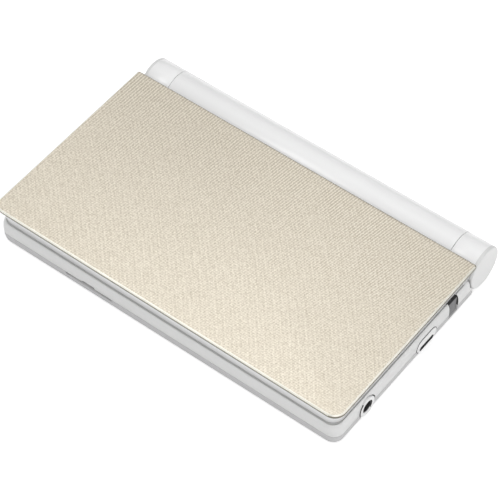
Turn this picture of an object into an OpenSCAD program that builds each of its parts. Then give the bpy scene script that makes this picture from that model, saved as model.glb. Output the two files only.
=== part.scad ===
// Pocket electronic dictionary with a barrel hinge, lid closed, standing on its feet.
// X runs along the hinge, Y from the front edge to the barrel, Z up.
// The origin is on the table, under the middle of the closed object.

/* [Lid panel] */
// Width of the decorative lid panel
panel_w = 133; // [130:0.5:140]
// Depth of the lid panel, front to back
panel_d = 72; // [71:0.5:80]
// Thickness of the lid panel
panel_t = 1.2; // [0.9:0.1:1.5]
// Front corner radius of the lid panel in plan
panel_r = 4; // [3:0.5:5]
// Chamfer round the top of the lid panel
panel_chamfer = 0.35; // [0.2:0.05:0.5]

/* [Lid] */
// Height of the lid shell below its panel
lid_h = 6; // [5.8:0.1:7]
// Overhang of the panel past the lid shell
lid_overhang = 1.2; // [0.9:0.1:1.5]
// Extra inset of the lid shell at its lower edge
lid_draft = 0.6; // [0.3:0.1:0.9]
// Side wall of the lid shell
lid_wall = 1.2; // [1:0.1:1.6]
// Top wall of the lid shell
lid_top_t = 1.1; // [0.9:0.1:1.3]
// Gap between the closed lid and the base
lid_gap = 0.4; // [0.3:0.05:0.6]

/* [Display] */
// Border of the bezel at the left and right of the window
bezel_side = 7.9; // [7:0.1:12]
// Border of the bezel in front of and behind the window
bezel_end = 5.1; // [4.6:0.1:8]
// Thickness of the clear display window
window_t = 0.8; // [0.6:0.1:0.9]
// Thickness of the inner bezel
bezel_t = 1; // [0.9:0.1:1.2]
// Depth of the bezel face inside the lid edge
bezel_recess = 0.6; // [0.5:0.05:0.8]
// Thickness of the liquid crystal panel
lcd_t = 1.6; // [1.2:0.1:1.8]
// Thickness of the backlight
backlight_t = 0.9; // [0.6:0.1:1]

/* [Base] */
// Height of the base without its feet
base_h = 8.1; // [8:0.1:9]
// Height of the lower case below the parting line
lower_h = 3.5; // [3.4:0.1:3.8]
// Inset of the base sides from the panel edge
base_inset = 0.7; // [0.5:0.1:1]
// Inset of the base front from the panel edge
base_front_inset = 0.9; // [0.6:0.1:1.2]
// Front corner radius of the base in plan
base_r = 3.6; // [3:0.2:4.4]
// Side wall of the base
base_wall = 1.3; // [1.1:0.1:1.6]
// Floor of the lower case
floor_t = 1.2; // [1:0.1:1.3]
// Thickness of the keyboard deck
deck_t = 1.2; // [1:0.1:1.4]
// Depth of the deck below the rim of the base
deck_recess = 0.5; // [0.4:0.05:0.6]
// Width of the rim round the deck
rim_w = 2.2; // [2:0.1:2.6]
// Shadow groove between upper and lower case
part_groove = 0.25; // [0.15:0.05:0.35]

/* [Barrel hinge] */
// Diameter of the hinge barrel
barrel_d = 14.9; // [14.7:0.1:15.4]
// Height of the barrel above the table
barrel_lift = 0.2; // [0.1:0.05:0.5]
// Distance from the back edge of the panel to the hinge axis
hinge_reach = 6.4; // [6:0.1:6.8]
// Inset of the barrel ends from the panel edge
barrel_inset = 0.7; // [0.5:0.1:1.2]
// Wall of the barrel between the battery bay and the hinge case
bay_wall = 1.5; // [1.2:0.05:1.9]
// Seam between knuckle and centre barrel
seam = 0.3; // [0.2:0.05:0.4]
// Clearance between the lid and the centre barrel
barrel_clear = 0.45; // [0.3:0.05:0.6]
// Gap between the hollow back of the case and the barrel that turns in it
case_gap = 0.6; // [0.45:0.05:0.8]
// Thickness of the end cap discs
cap_t = 1.2; // [1:0.1:1.5]
// Diameter of the steel hinge shaft
shaft_d = 4; // [3:0.1:4.4]
// Radial running clearance of shaft and bush
shaft_play = 0.05; // [0.02:0.01:0.08]
// Diameter of the click hinge case
hinge_case_d = 9.6; // [8:0.1:10]
// Length of the click hinge case
hinge_case_len = 7; // [6:0.1:7.5]
// Outer diameter of the hollow cable bush
bush_d = 5.2; // [4.6:0.1:6]
// Bore of the hollow cable bush
bush_bore = 3.2; // [2.6:0.1:3.6]

/* [Batteries] */
// Diameter of a AAA cell
cell_d = 10.5; // [10:0.1:10.5]
// Length of a AAA cell over its nub
cell_len = 44.5; // [43.3:0.1:44.6]
// Radial play of the cells in their bay
cell_play = 0.3; // [0.2:0.05:0.35]
// Compressed length of the contact spring
spring_len = 4; // [3:0.1:4.5]
// Thickness of the contact plates
contact_t = 0.5; // [0.3:0.05:0.6]
// Thickness of the battery cover
cover_t = 1; // [0.9:0.05:1.1]
// Slide of the battery cover that unhooks it
cover_slide = 2.4; // [2:0.1:2.8]
// Gap round the battery cover
cover_play = 0.2; // [0.15:0.05:0.3]

/* [Keyboard] */
// Keys in one row
key_columns = 10; // [8:1:11]
// Share of the deck's depth that the key rows take
rows_share = 0.628; // [0.6:0.004:0.64]
// Bar of deck between two key rows
row_bar = 1.6; // [1.5:0.1:2]
// Bar of deck between two keys of a row
key_bar = 1.4; // [1.3:0.1:2]
// Corner radius of a key
key_r = 1; // [0.6:0.1:1.4]
// Height of the key tops above the deck
key_proud = 1; // [0.8:0.05:1.05]
// Travel of the keys
key_travel = 0.7; // [0.5:0.05:0.75]
// Gap between a key and its hole
key_play = 0.3; // [0.2:0.05:0.35]
// Thickness of the flange under each key
flange_t = 0.6; // [0.5:0.05:0.65]

/* [Handwriting pad] */
// Deck between the pad window and the keys beside it
pad_side = 1.2; // [1:0.1:3]
// Deck between the pad window and the key row behind it
pad_gap = 1; // [0.8:0.1:1.5]
// Thickness of the pad window
pad_t = 0.8; // [0.6:0.1:0.9]
// How far the cursor ring stays inside the depth of the pad window
ring_inset = 1; // [0.8:0.1:1.6]
// Diameter of the enter key
enter_d = 8; // [7:0.5:9]

/* [Stylus] */
// Diameter of the stylus
stylus_d = 3.8; // [3.4:0.1:3.8]
// Length of the stylus
stylus_len = 78; // [70:1:84]
// Width of the stylus head and its notch
stylus_head_w = 4.8; // [4.4:0.1:5]
// Length of the stylus head
stylus_head_len = 6; // [5:0.1:6.5]
// Clearance round the stylus
stylus_play = 0.25; // [0.2:0.05:0.3]
// Distance of the stylus ahead of the back edge of the panel
stylus_ahead = 10.4; // [10.2:0.1:10.7]

/* [Sockets] */
// Bore of the headphone socket
jack_bore = 3.6; // [3.5:0.05:3.8]
// Outer diameter of the collar round the headphone socket
collar_d = 7.2; // [6.8:0.1:7.4]
// Distance of the headphone socket behind the front edge
jack_setback = 16.4; // [15:0.1:18]
// Length of the socket cover
usb_len = 10.4; // [9.8:0.1:11]
// Height of the socket cover
usb_h = 5.2; // [5:0.1:5.4]
// Distance of the socket cover ahead of the stylus
usb_ahead = 14.4; // [13.6:0.1:16]
// Width of the memory card slot
card_w = 18.5; // [17:0.5:20]
// Distance of the card slot from the left end of the panel
card_left = 28; // [27:0.5:30]

/* [Feet and screws] */
// Height of the rubber feet below the case
foot_h = 0.5; // [0.4:0.05:0.6]
// Diameter of the rubber feet
foot_d = 6; // [5:0.5:7]
// Shank diameter of the screws
screw_d = 1.6; // [1.4:0.1:1.8]
// Head diameter of the screws
screw_head_d = 3; // [2.6:0.1:3.2]

/* [Hidden] */
$fn = 64;

eps = 0.01;         // thin slice that a hull starts from
reach = 30;         // how far a cutting tool runs past the wall that it cuts
hull_fn = 32;       // facets of a hull's round corners
face_gap = 0.05;    // stand-off between flat faces of neighbouring pieces

// Levels above the table
base_z = foot_h;
part_z = base_z + lower_h;
rim_z = base_z + base_h;
deck_z = rim_z - deck_recess;
deck_under_z = deck_z - deck_t;
floor_z = base_z + floor_t;
lid_z = rim_z + lid_gap;
lid_top_z = lid_z + lid_h;
total_h = lid_top_z + panel_t;
bezel_z = lid_z + bezel_recess;
lcd_z = bezel_z + bezel_t + face_gap;
flange_z = deck_under_z - face_gap - flange_t;
under_key = 0.25;   // room left under a pressed key
membrane_t = 1.2;
board_t = 1;
membrane_z = flange_z - key_travel - under_key - membrane_t;
board_z = membrane_z - board_t;

// Rounded edges of the case: distance from the edge, then inset of the outline there
shoulder_steps = [[0, 0.9], [0.3, 0.55], [0.8, 0.3], [1.6, 0.1], [2.8, 0]];
under_steps = [[0, 1.9], [0.25, 1.3], [0.8, 0.65], [1.9, 0.1]];

// Places along Y
barrel_r = barrel_d / 2;
total_d = panel_d + hinge_reach + barrel_r;
front_y = -total_d / 2;
panel_back_y = front_y + panel_d;
axis_y = total_d / 2 - barrel_r;
axis_z = barrel_lift + barrel_r;
base_front_y = front_y + base_front_inset;
back_in = 0.9;      // how far the straight back of the case stays ahead of its hollow
base_back_y = axis_y - barrel_r - case_gap - back_in;
tail_back_y = axis_y - 0.72 * barrel_r;     // the case runs on under the barrel to here
lid_back_inset = 0.5;
lid_back_y = panel_back_y - lid_back_inset;
rear_r = 1;
panel_rear_r = 0.8;
lid_r = base_r + 0.2;
corner_step = 1.2;  // how much the inside corners are tighter than the outside ones

// Places along X
base_half = panel_w / 2 - base_inset;
barrel_half = panel_w / 2 - barrel_inset;
bay_half = cell_len + spring_len / 2 + contact_t + face_gap;
core_half = bay_half + bay_wall + hinge_case_len;
knuckle_x = core_half + seam;
knuckle_in = barrel_half - cap_t - knuckle_x;
side_x = base_half;
shaft_in = hinge_case_len - 1;      // how far shaft and bush reach into the centre barrel
grip_x = knuckle_x + 0.786 * knuckle_in;
spigot_r = 3;       // spigot that holds an end cap in its knuckle
spigot_len = 0.095 * knuckle_in;

// Inside of the base
room_half = base_half - base_wall;
room_front_y = base_front_y + base_wall;
room_back_y = base_back_y - base_wall;
post_r = 2;
post_side_in = 4.9; // how far the posts stand inside the edges of the base
post_front_in = 5.3;
post_back_in = 2.6;
post_x = base_half - post_side_in;
post_front_y = base_front_y + post_front_in;
post_back_y = base_back_y - post_back_in;
foot_side_in = 12;  // how far the feet stand inside the edges of the base
foot_front_in = 8;
foot_back_in = 9;
foot_seat = 0.3;    // how far the feet sit in the floor
screw_bite = 2.4;   // depth of the pilot holes
lid_head_t = 0.5;
case_head_t = 0.8;

// Stylus channel
stylus_y = panel_back_y - stylus_ahead;
channel_half = 2.8;
channel_bore_r = stylus_d / 2 + stylus_play;
stylus_z = floor_z + 0.4 + channel_bore_r;
channel_top_z = deck_under_z - face_gap;
stylus_end_x = side_x - 0.4;
notch_depth = stylus_head_len + 0.6;
notch_floor_z = floor_z;
head_low_z = notch_floor_z + stylus_play;
head_high_z = rim_z - 0.3;

stylus_tip_len = 6;

// Main board
board_half = base_half - 8.3;
board_front_y = base_front_y + 3.4;
board_back_y = stylus_y - channel_half - 0.4;

// Keyboard
key_margin = 5.9;
row_count = 5;
deck_margin = 5.7;
row_back_gap = 0.2;
deck_front_y = base_front_y + deck_margin;
deck_back_y = stylus_y - channel_half - row_back_gap;
rows_d = (deck_back_y - deck_front_y - pad_gap) * rows_share;
key_pitch_y = rows_d / row_count;
key_d = key_pitch_y - row_bar;
key_pitch_x = 2 * (base_half - key_margin) / key_columns;
key_w = key_pitch_x - key_bar;
first_row_y = deck_back_y - key_pitch_y / 2;
key_top_z = deck_z + key_proud;
flange_lip = 0.25;
membrane_back_y = first_row_y + key_pitch_y / 2 - 0.3;
membrane_front_y = row_y(row_count) - key_pitch_y / 2 + 0.3;

// Pad, cursor ring and the keys beside them
pad_d = deck_back_y - deck_front_y - pad_gap - rows_d;
pad_y = deck_front_y + pad_d / 2;
ring_d = pad_d - 2 * ring_inset;
ring_side_in = 23.5;
ring_x = base_half - ring_side_in;
ring_bore_d = enter_d + 1.2;
corner_w = 6.6;
corner_d = 4.4;
jack_half = 3;      // half the width of the headphone socket's body, which lies between corner keys
corner_dx = ring_d / 2 + corner_w / 2 + 0.7;
corner_dy = jack_half + key_play + flange_lip + corner_d / 2 + 0.85;
pad_w = 2 * (ring_x - corner_dx - corner_w / 2 - pad_side);
pad_rim = 1;        // border of the pad window that has nothing under it
pad_frame_t = 1.2;
volume_side_in = 10.3;
volume_x = -base_half + volume_side_in;
volume_dy = pad_d / 4 + 0.05;
volume_w = 5;
volume_d = pad_d / 2 - 3.1;
speaker_side_in = 22.3;
speaker_x = -base_half + speaker_side_in;
speaker_r = pad_d / 2 - 2;
grille_pitch = 0.32 * speaker_r;
grille_hole_r = 0.55;

// Sockets
jack_y = front_y + jack_setback;
jack_z = base_z + collar_d / 2 + 0.1;
jack_len = 11;
collar_play = 0.4;
collar_len = 1.8;
collar_flange_t = 0.5;
collar_proud = 0.15;
collar_mouth_r = 2.3;
usb_y = stylus_y - usb_ahead;
usb_z = base_z + usb_h / 2 + 1;
usb_play = 0.2;
usb_cover_t = 1.3;
usb_back = 3;       // depth of the recess that the cover plugs
usb_box_len = 7;
usb_box_w = 7.7;
usb_box_h = 3.75;
usb_mouth_w = 6.9;
usb_mouth_h = 2.9;
usb_nail_h = 1.7;   // nail slot in the socket cover
usb_nail_drop = 1.35;
socket_back = 0.3;  // gap between a socket and the piece in front of it
card_x = -panel_w / 2 + card_left + card_w / 2;
card_z = part_z - part_groove - 1;
card_slot_h = 1;
card_depth = 15;
card_box_h = 1.6;
card_wall = 0.6;
card_back = 0.9;
nail_w = 5;
nail_h = 0.6;

// Battery bay
cell_r = cell_d / 2;
cell_drop = 0.9;
cell_y = axis_y + 0.2;
cell_z = axis_z - cell_drop;
bay_r = cell_r + cell_play;
cover_rest = 1.3;   // how far the cover runs onto the solid ends of the barrel
cover_half = bay_half + cover_rest;
cover_low = 6.2;
cover_high = 3.3;
cover_in_r = barrel_r - cover_t;
cover_seat = 0.12;
nub_r = 1.9;
nub_len = 0.8;
spring_wire_r = 0.35;
spring_turns = 3.5;

// Lid interior
lid_low_half = panel_w / 2 - lid_overhang - lid_draft;
lid_low_front_y = front_y + lid_overhang + lid_draft;
lid_room_half = lid_low_half - lid_wall;
lid_room_front_y = lid_low_front_y + lid_wall;
lid_room_back_y = axis_y - barrel_r - barrel_clear - 1.6;
lid_room_mid_y = (lid_room_front_y + lid_room_back_y) / 2;
lid_room_d = lid_room_back_y - lid_room_front_y;
bezel_play = 0.15;
window_w = 2 * (lid_room_half - bezel_side);
window_d = lid_room_d - 2 * bezel_end;
window_y = lid_room_mid_y;
lcd_border = 1;     // how far the panel behind the window runs past it
driver_t = 0.4;     // thickness of the driver board
lid_screw_x = window_w / 2 + bezel_side / 2 - 0.35;
lid_screw_dy = lid_room_d / 2 - 3.4;

// ---------------------------------------------------------------- helpers

function row_y(i) = first_row_y - (i - 1) * key_pitch_y;
function key_x(column) = (column - (key_columns - 1) / 2) * key_pitch_x;

// Rectangle centred on the origin, front corners rf and rear corners rb
module plan(w, d, rf, rb) {
    translate([-w / 2 + rf, -d / 2])
        square([w - 2 * rf, d - rb]);
    translate([-w / 2, -d / 2 + rf])
        square([w, d - rf - rb]);
    translate([-w / 2 + rb, -d / 2 + rf])
        square([w - 2 * rb, d - rf]);
    for (s = [-1, 1]) {
        translate([s * (w / 2 - rf), -d / 2 + rf])
            circle(rf);
        translate([s * (w / 2 - rb), d / 2 - rb])
            circle(rb);
    }
}

module block(w, d, r, z, h, x = 0, y = 0) {
    translate([x, y, z])
        linear_extrude(h)
            plan(w, d, r, r);
}

// Round bar along X, on the hinge axis unless told otherwise
module xrod(r, x0, x1, y = axis_y, z = axis_z) {
    translate([x0, y, z])
        rotate([0, 90, 0])
            cylinder(r = r, h = x1 - x0);
}

// Slot shape with round ends, length along Y, drawn out along X
module xslot(length, height, x0, x1, y, z) {
    run = length - height;
    translate([x0, y - run / 2, z - height / 2])
        cube([x1 - x0, run, height]);
    for (s = [-1, 1])
        xrod(height / 2, x0, x1, y + s * run / 2, z);
}

// One thin slice of the base at a level and an inset from its widest outline
module base_slice(z, inset) {
    y0 = base_front_y + inset;
    translate([0, (y0 + tail_back_y) / 2, z])
        linear_extrude(eps)
            plan(2 * (base_half - inset), tail_back_y - y0, base_r, rear_r, $fn = hull_fn);
}

module lid_slice(z, inset) {
    y0 = front_y + inset;
    translate([0, (y0 + lid_back_y) / 2, z])
        linear_extrude(eps)
            plan(panel_w - 2 * inset, lid_back_y - y0, lid_r, rear_r, $fn = hull_fn);
}

module base_room(z0, z1) {
    translate([0, (room_front_y + room_back_y) / 2, z0])
        linear_extrude(z1 - z0)
            plan(2 * room_half, room_back_y - room_front_y, base_r - corner_step, rear_r / 2);
}

// Places of the four case screws
module at_case_posts() {
    for (s = [-1, 1], y = [post_front_y, post_back_y])
        translate([s * post_x, y, 0])
            children();
}

module at_lid_posts() {
    for (s = [-1, 1], t = [-1, 1])
        translate([s * lid_screw_x, lid_room_mid_y + t * lid_screw_dy, 0])
            children();
}

// ---------------------------------------------------------------- lid

module lid_panel() {
    color("wheat")
        hull() {
            translate([0, front_y + panel_d / 2, lid_top_z])
                linear_extrude(panel_t - panel_chamfer)
                    plan(panel_w, panel_d, panel_r, panel_rear_r, $fn = 48);
            translate([0, front_y + panel_d / 2, total_h - eps])
                linear_extrude(eps)
                    plan(panel_w - 2 * panel_chamfer, panel_d - 2 * panel_chamfer,
                        panel_r - panel_chamfer, panel_rear_r - panel_chamfer, $fn = 48);
        }
}

module lid_tray() {
    lid_edge = 0.4;
    difference() {
        hull() {
            lid_slice(lid_z, lid_overhang + lid_draft + 0.2);
            lid_slice(lid_z + lid_edge, lid_overhang + lid_draft);
            lid_slice(lid_z + lid_h / 2, lid_overhang + 0.3 * lid_draft);
            lid_slice(lid_top_z - eps, lid_overhang);
        }
        block(2 * lid_room_half, lid_room_d, base_r - corner_step, lid_z - 1,
            lid_h + 1 - lid_top_t, 0, lid_room_mid_y);
    }
}

// Arm that carries a knuckle, low enough to stay under the panel's back edge
module lid_arm(s) {
    x0 = knuckle_x + seam;
    arm_w = 0.786 * knuckle_in;
    arm_top = 3.7;
    arm_low = 0.3;
    translate([s > 0 ? x0 : -x0 - arm_w, lid_room_back_y, lid_z + arm_low])
        cube([arm_w, axis_y - lid_room_back_y, arm_top - arm_low]);
}

module lid_shell() {
    color("whitesmoke")
        difference() {
            union() {
                lid_tray();
                for (s = [-1, 1])
                    lid_arm(s);
                xrod(barrel_r, knuckle_x, barrel_half - cap_t);
                xrod(barrel_r, -barrel_half + cap_t, -knuckle_x);
                at_lid_posts()
                    translate([0, 0, lcd_z])
                        cylinder(r = post_r * 0.8, h = lid_top_z - lid_top_t - lcd_z + eps);
            }
            // room for the centre barrel that the base carries
            xrod(barrel_r + barrel_clear, -knuckle_x, knuckle_x);
            // seat of the steel shaft on the right and of the cable bush on the left
            xrod(shaft_d / 2, knuckle_x - 1, grip_x);
            xrod(bush_d / 2, -grip_x, -knuckle_x + 1);
            for (s = [-1, 1])
                xrod(spigot_r, s > 0 ? barrel_half - cap_t - spigot_len : -barrel_half,
                    s > 0 ? barrel_half : -barrel_half + cap_t + spigot_len);
            at_lid_posts()
                translate([0, 0, lcd_z - 1])
                    cylinder(r = screw_d / 2, h = 1 + screw_bite);
        }
}

module end_cap(s) {
    rim = 0.6;
    x0 = barrel_half - cap_t;
    translate([s * x0, axis_y, axis_z])
        rotate([0, s * 90, 0])
            rotate_extrude()
                union() {
                    translate([0, -spigot_len])
                        square([spigot_r, spigot_len + eps]);
                    square([barrel_r, cap_t - rim]);
                    square([barrel_r - rim, cap_t]);
                    translate([barrel_r - rim, cap_t - rim])
                        circle(rim);
                }
}

module left_end_cap() {
    color("white")
        end_cap(-1);
}

module right_end_cap() {
    color("white")
        end_cap(1);
}

module lid_bezel() {
    color("whitesmoke")
        difference() {
            block(2 * (lid_room_half - bezel_play), lid_room_d - 2 * bezel_play,
                base_r - corner_step, bezel_z, bezel_t, 0, lid_room_mid_y);
            block(window_w, window_d, 1.5, bezel_z - 1, bezel_t + 2, 0, window_y);
            at_lid_posts() {
                translate([0, 0, bezel_z - 1])
                    cylinder(r = screw_d / 2, h = bezel_t + 2);
                translate([0, 0, bezel_z - 1])
                    cylinder(r = screw_head_d / 2, h = 1 + lid_head_t);
            }
        }
}

module display_window() {
    color("lightblue")
        block(window_w - 2 * bezel_play, window_d - 2 * bezel_play, 1.35,
            bezel_z + bezel_t - window_t, window_t, 0, window_y);
}

module lcd_panel() {
    color("dimgray")
        block(window_w - 2 * lcd_border, window_d + 2 * lcd_border, 0.5, lcd_z, lcd_t, 0, window_y);
}

module backlight() {
    color("silver")
        block(window_w, window_d + 2 * lcd_border, 0.8, lcd_z + lcd_t, backlight_t, 0, window_y);
}

// Driver board on the backlight's rear, just under the top wall of the lid
module display_board() {
    color("seagreen")
        block(0.54 * window_w, window_d / 4, 0.6, lcd_z + lcd_t + backlight_t, driver_t,
            -0.16 * window_w, window_y + window_d / 4);
}

module lid_bumpers() {
    bumper_r = 1;
    bumper_dy = window_d / 2 + 0.44 * bezel_end;
    color("dimgray")
        // in line with the cursor ring, where the deck in front of it has no raised key
        for (s = [-1, 1], t = [-1, 1])
            translate([s * ring_x, window_y + t * bumper_dy, deck_z + face_gap])
                cylinder(r = bumper_r, h = bezel_z - deck_z - face_gap);
}

module lid_screws() {
    color("gray")
        at_lid_posts() {
            translate([0, 0, bezel_z])
                cylinder(r = screw_head_d / 2, h = lid_head_t);
            translate([0, 0, bezel_z + lid_head_t - eps])
                cylinder(r = screw_d / 2, h = lcd_z + screw_bite - 0.1 - bezel_z - lid_head_t);
        }
}

// ---------------------------------------------------------------- hinge

module hinge_shaft() {
    color("silver")
        xrod(shaft_d / 2, core_half - shaft_in, grip_x);
}

module cable_bush() {
    color("gainsboro")
        difference() {
            xrod(bush_d / 2, -grip_x, -core_half + shaft_in);
            xrod(bush_bore / 2, -grip_x - 1, -core_half + shaft_in + 1);
        }
}

// Flat display cable, rolled up where it passes through the bush
module display_cable() {
    cable_r = bush_bore / 2 - 0.2;
    cable_wall = 0.5;
    cable_short = 0.3;
    color("peru")
        difference() {
            xrod(cable_r, -grip_x + cable_short, -core_half + shaft_in - cable_short);
            xrod(cable_r - cable_wall, -grip_x, -core_half + shaft_in);
        }
}

module click_hinge_case() {
    color("slategray")
        difference() {
            xrod(hinge_case_d / 2, core_half - hinge_case_len, core_half - face_gap);
            xrod(shaft_d / 2 + shaft_play, core_half - shaft_in - 0.2, core_half + 1);
        }
}

// ---------------------------------------------------------------- barrel and batteries

// Ring of the barrel wall that the cover fills, widened by a gap
module cover_band(x0, x1, r_in, r_out, gap) {
    intersection() {
        difference() {
            xrod(r_out, x0, x1);
            xrod(r_in, x0 - 1, x1 + 1);
        }
        translate([x0 - 1, axis_y, axis_z - cover_low - gap])
            cube([x1 - x0 + 2, reach, cover_low + cover_high + 2 * gap]);
    }
}

module battery_barrel() {
    web_low_z = base_z + 2.2;
    color("white")
        difference() {
            union() {
                xrod(barrel_r, -core_half, core_half);
                // web that fills the hollow back of the case behind the room
                intersection() {
                    xrod(barrel_r + case_gap, -core_half, core_half);
                    translate([-core_half, axis_y - reach, web_low_z])
                        cube([2 * core_half, reach, deck_z - web_low_z]);
                }
            }
            xrod(bay_r, -bay_half, bay_half, cell_y, cell_z);
            translate([-bay_half, axis_y, axis_z - cover_low - cover_play])
                cube([2 * bay_half, reach, cover_low + cover_high + 2 * cover_play]);
            cover_band(-cover_half - cover_play, cover_half + cover_slide + cover_play,
                cover_in_r - cover_seat, barrel_r + 1, cover_play);
            xrod(hinge_case_d / 2, core_half - hinge_case_len, core_half + 1);
            xrod(bush_d / 2 + shaft_play, -core_half - 1, -core_half + shaft_in + 0.2);
        }
}

module battery_cover() {
    grip_r = 0.5;
    color("white")
        difference() {
            cover_band(-cover_half, cover_half, cover_in_r, barrel_r, 0);
            // thumb grooves near the end that slides into the recess
            for (i = [0:3])
                translate([cover_half - 6 - 1.6 * i, axis_y + barrel_r + 0.2, axis_z - 3.5])
                    cylinder(r = grip_r, h = 5);
        }
}

module cell(x0) {
    xrod(cell_r, x0, x0 + cell_len - nub_len, cell_y, cell_z);
    xrod(nub_r, x0 + cell_len - nub_len - eps, x0 + cell_len, cell_y, cell_z);
}

module battery_1() {
    color("goldenrod")
        cell(-bay_half + face_gap + contact_t + spring_len);
}

module battery_2() {
    color("goldenrod")
        cell(-bay_half + face_gap + contact_t + spring_len + cell_len);
}

// Points of one ring of the spring's wire, at a part t of its length
function spring_ring(t, sides) = [
    for (k = [0:sides - 1])
        let (turn = 360 * spring_turns * t,
            r = 2 + 1.6 * (1 - t) + spring_wire_r * cos(360 * k / sides),
            x = spring_wire_r + (spring_len - 2 * spring_wire_r) * t
                + spring_wire_r * sin(360 * k / sides))
        [x, r * cos(turn), r * sin(turn)]];

// Tube through equal rings of points, closed at both ends
module tube_through(rings, sides) {
    n = len(rings);
    polyhedron(
        points = [for (ring = rings) each ring],
        faces = concat(
            [[for (k = [0:sides - 1]) k]],
            [for (i = [0:n - 2], k = [0:sides - 1])
                [i * sides + k, (i + 1) * sides + k,
                    (i + 1) * sides + (k + 1) % sides, i * sides + (k + 1) % sides]],
            [[for (k = [sides - 1:-1:0]) (n - 1) * sides + k]]));
}

module battery_spring() {
    steps = 56;
    color("silver")
        translate([-bay_half + face_gap + contact_t, cell_y, cell_z])
            tube_through([for (i = [0:steps]) spring_ring(i / steps, 6)], 6);
}

module battery_contacts() {
    plate = cell_d * 0.7;
    color("silver")
        for (x = [-bay_half + face_gap, bay_half - face_gap - contact_t])
            translate([x, cell_y - plate / 2, cell_z - plate / 2])
                cube([contact_t, plate, plate]);
}

// ---------------------------------------------------------------- base

// Holes of the speaker grille, three rings round one hole
module grille_holes() {
    for (ring = [0:2], k = [0:max(0, 6 * ring - 1)])
        rotate(ring == 0 ? 0 : 360 * k / (6 * ring))
            translate([ring * grille_pitch, 0])
                circle(grille_hole_r, $fn = 24);
}

// Every opening of the keyboard deck, seen from above
module deck_openings() {
    for (i = [1:row_count], column = [0:key_columns - 1])
        translate([key_x(column), row_y(i)])
            plan(key_w + 2 * key_play, key_d + 2 * key_play, key_r, key_r, $fn = 24);
    translate([0, pad_y])
        plan(pad_w, pad_d, 1, 1);
    translate([ring_x, pad_y])
        circle(ring_d / 2 + key_play);
    for (s = [-1, 1], t = [-1, 1])
        translate([ring_x + s * corner_dx, pad_y + t * corner_dy])
            plan(corner_w + 2 * key_play, corner_d + 2 * key_play, key_r, key_r, $fn = 24);
    for (t = [-1, 1])
        translate([volume_x, pad_y + t * volume_dy])
            plan(volume_w + 2 * key_play, volume_d + 2 * key_play, key_r, key_r, $fn = 24);
    translate([speaker_x, pad_y])
        grille_holes();
}

// Cuts that both halves of the case share: stylus notch, the two sockets and the hollow back
module side_cuts() {
    translate([side_x - notch_depth, stylus_y - stylus_head_w / 2, notch_floor_z])
        cube([notch_depth + 1, stylus_head_w, rim_z]);
    xrod(collar_d / 2 + collar_play, side_x - collar_len - socket_back, side_x + 1,
        jack_y, jack_z);
    xslot(usb_len + 2 * usb_play, usb_h + 2 * usb_play, side_x - usb_back, side_x + 1, usb_y, usb_z);
    // hollow back in which the barrel turns
    xrod(barrel_r + case_gap, -panel_w, panel_w);
}

module upper_case() {
    color("gainsboro")
        difference() {
            union() {
                difference() {
                    hull() {
                        base_slice(part_z, 0);
                        for (step = shoulder_steps)
                            base_slice(rim_z - eps - step[0], step[1]);
                    }
                    base_room(part_z - 1, deck_under_z);
                    translate([0, (base_front_y + base_back_y) / 2, deck_z])
                        linear_extrude(deck_recess + 1)
                            plan(2 * (base_half - rim_w), base_back_y - base_front_y - 2 * rim_w,
                                base_r - corner_step, rear_r / 2);
                }
                at_case_posts()
                    translate([0, 0, part_z])
                        cylinder(r = post_r, h = deck_under_z - part_z + eps);
            }
            translate([0, 0, deck_under_z - 1])
                linear_extrude(deck_t + 2)
                    deck_openings();
            at_case_posts()
                translate([0, 0, part_z - 1])
                    cylinder(r = screw_d / 2, h = 1 + screw_bite);
            side_cuts();
            // nail notch over the card slot
            translate([card_x - nail_w / 2, base_front_y - 1, part_z - 1])
                cube([nail_w, 1 + 0.6, 1 + nail_h]);
        }
}

module lower_case() {
    color("silver")
        difference() {
            union() {
                difference() {
                    hull() {
                        base_slice(part_z - part_groove - eps, 0);
                        for (step = under_steps)
                            base_slice(base_z + step[0], step[1]);
                    }
                    base_room(floor_z, part_z + 1);
                }
                lower_tongue();
                at_case_posts()
                    translate([0, 0, floor_z - eps])
                        cylinder(r = post_r, h = part_z - face_gap - floor_z);
                stylus_channel();
                board_rests();
            }
            xrod(channel_bore_r, stylus_end_x - stylus_len - 1, side_x, stylus_y, stylus_z);
            side_cuts();
            at_case_posts() {
                translate([0, 0, base_z - 1])
                    cylinder(r = screw_d / 2, h = 1 + part_z - base_z);
                translate([0, 0, base_z - 1])
                    cylinder(r = screw_head_d / 2, h = 1 + case_head_t);
            }
            at_feet()
                translate([0, 0, base_z - 1])
                    cylinder(r = foot_d / 2, h = 1 + foot_seat);
            translate([card_x - card_w / 2, base_front_y - 1, card_z])
                cube([card_w, base_wall + 2, card_slot_h + part_groove + 1]);
        }
}

// Tongue inside the wall that locates the two halves of the case
module lower_tongue() {
    tongue_t = 0.6;
    tongue_h = 0.6;
    root_h = 0.8;
    play = 0.1;
    inner_r = base_r - corner_step - tongue_t;
    mid_y = (room_front_y + room_back_y) / 2;
    room_d = room_back_y - room_front_y;
    groove_z = part_z - part_groove;
    difference() {
        union() {
            translate([0, mid_y, groove_z - root_h])
                linear_extrude(root_h)
                    plan(2 * room_half + tongue_t, room_d + tongue_t, base_r - corner_step,
                        rear_r / 2);
            translate([0, mid_y, groove_z - eps])
                linear_extrude(part_groove + tongue_h)
                    plan(2 * (room_half - play), room_d - 2 * play, base_r - corner_step,
                        rear_r / 2);
        }
        translate([0, mid_y, groove_z - 2])
            linear_extrude(reach)
                plan(2 * (room_half - play - tongue_t), room_d - 2 * (play + tongue_t), inner_r,
                    rear_r / 2);
        // it stops short of the posts of the upper case
        at_case_posts()
            translate([0, 0, part_z - face_gap])
                cylinder(r = post_r + play, h = 3);
    }
}

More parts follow.
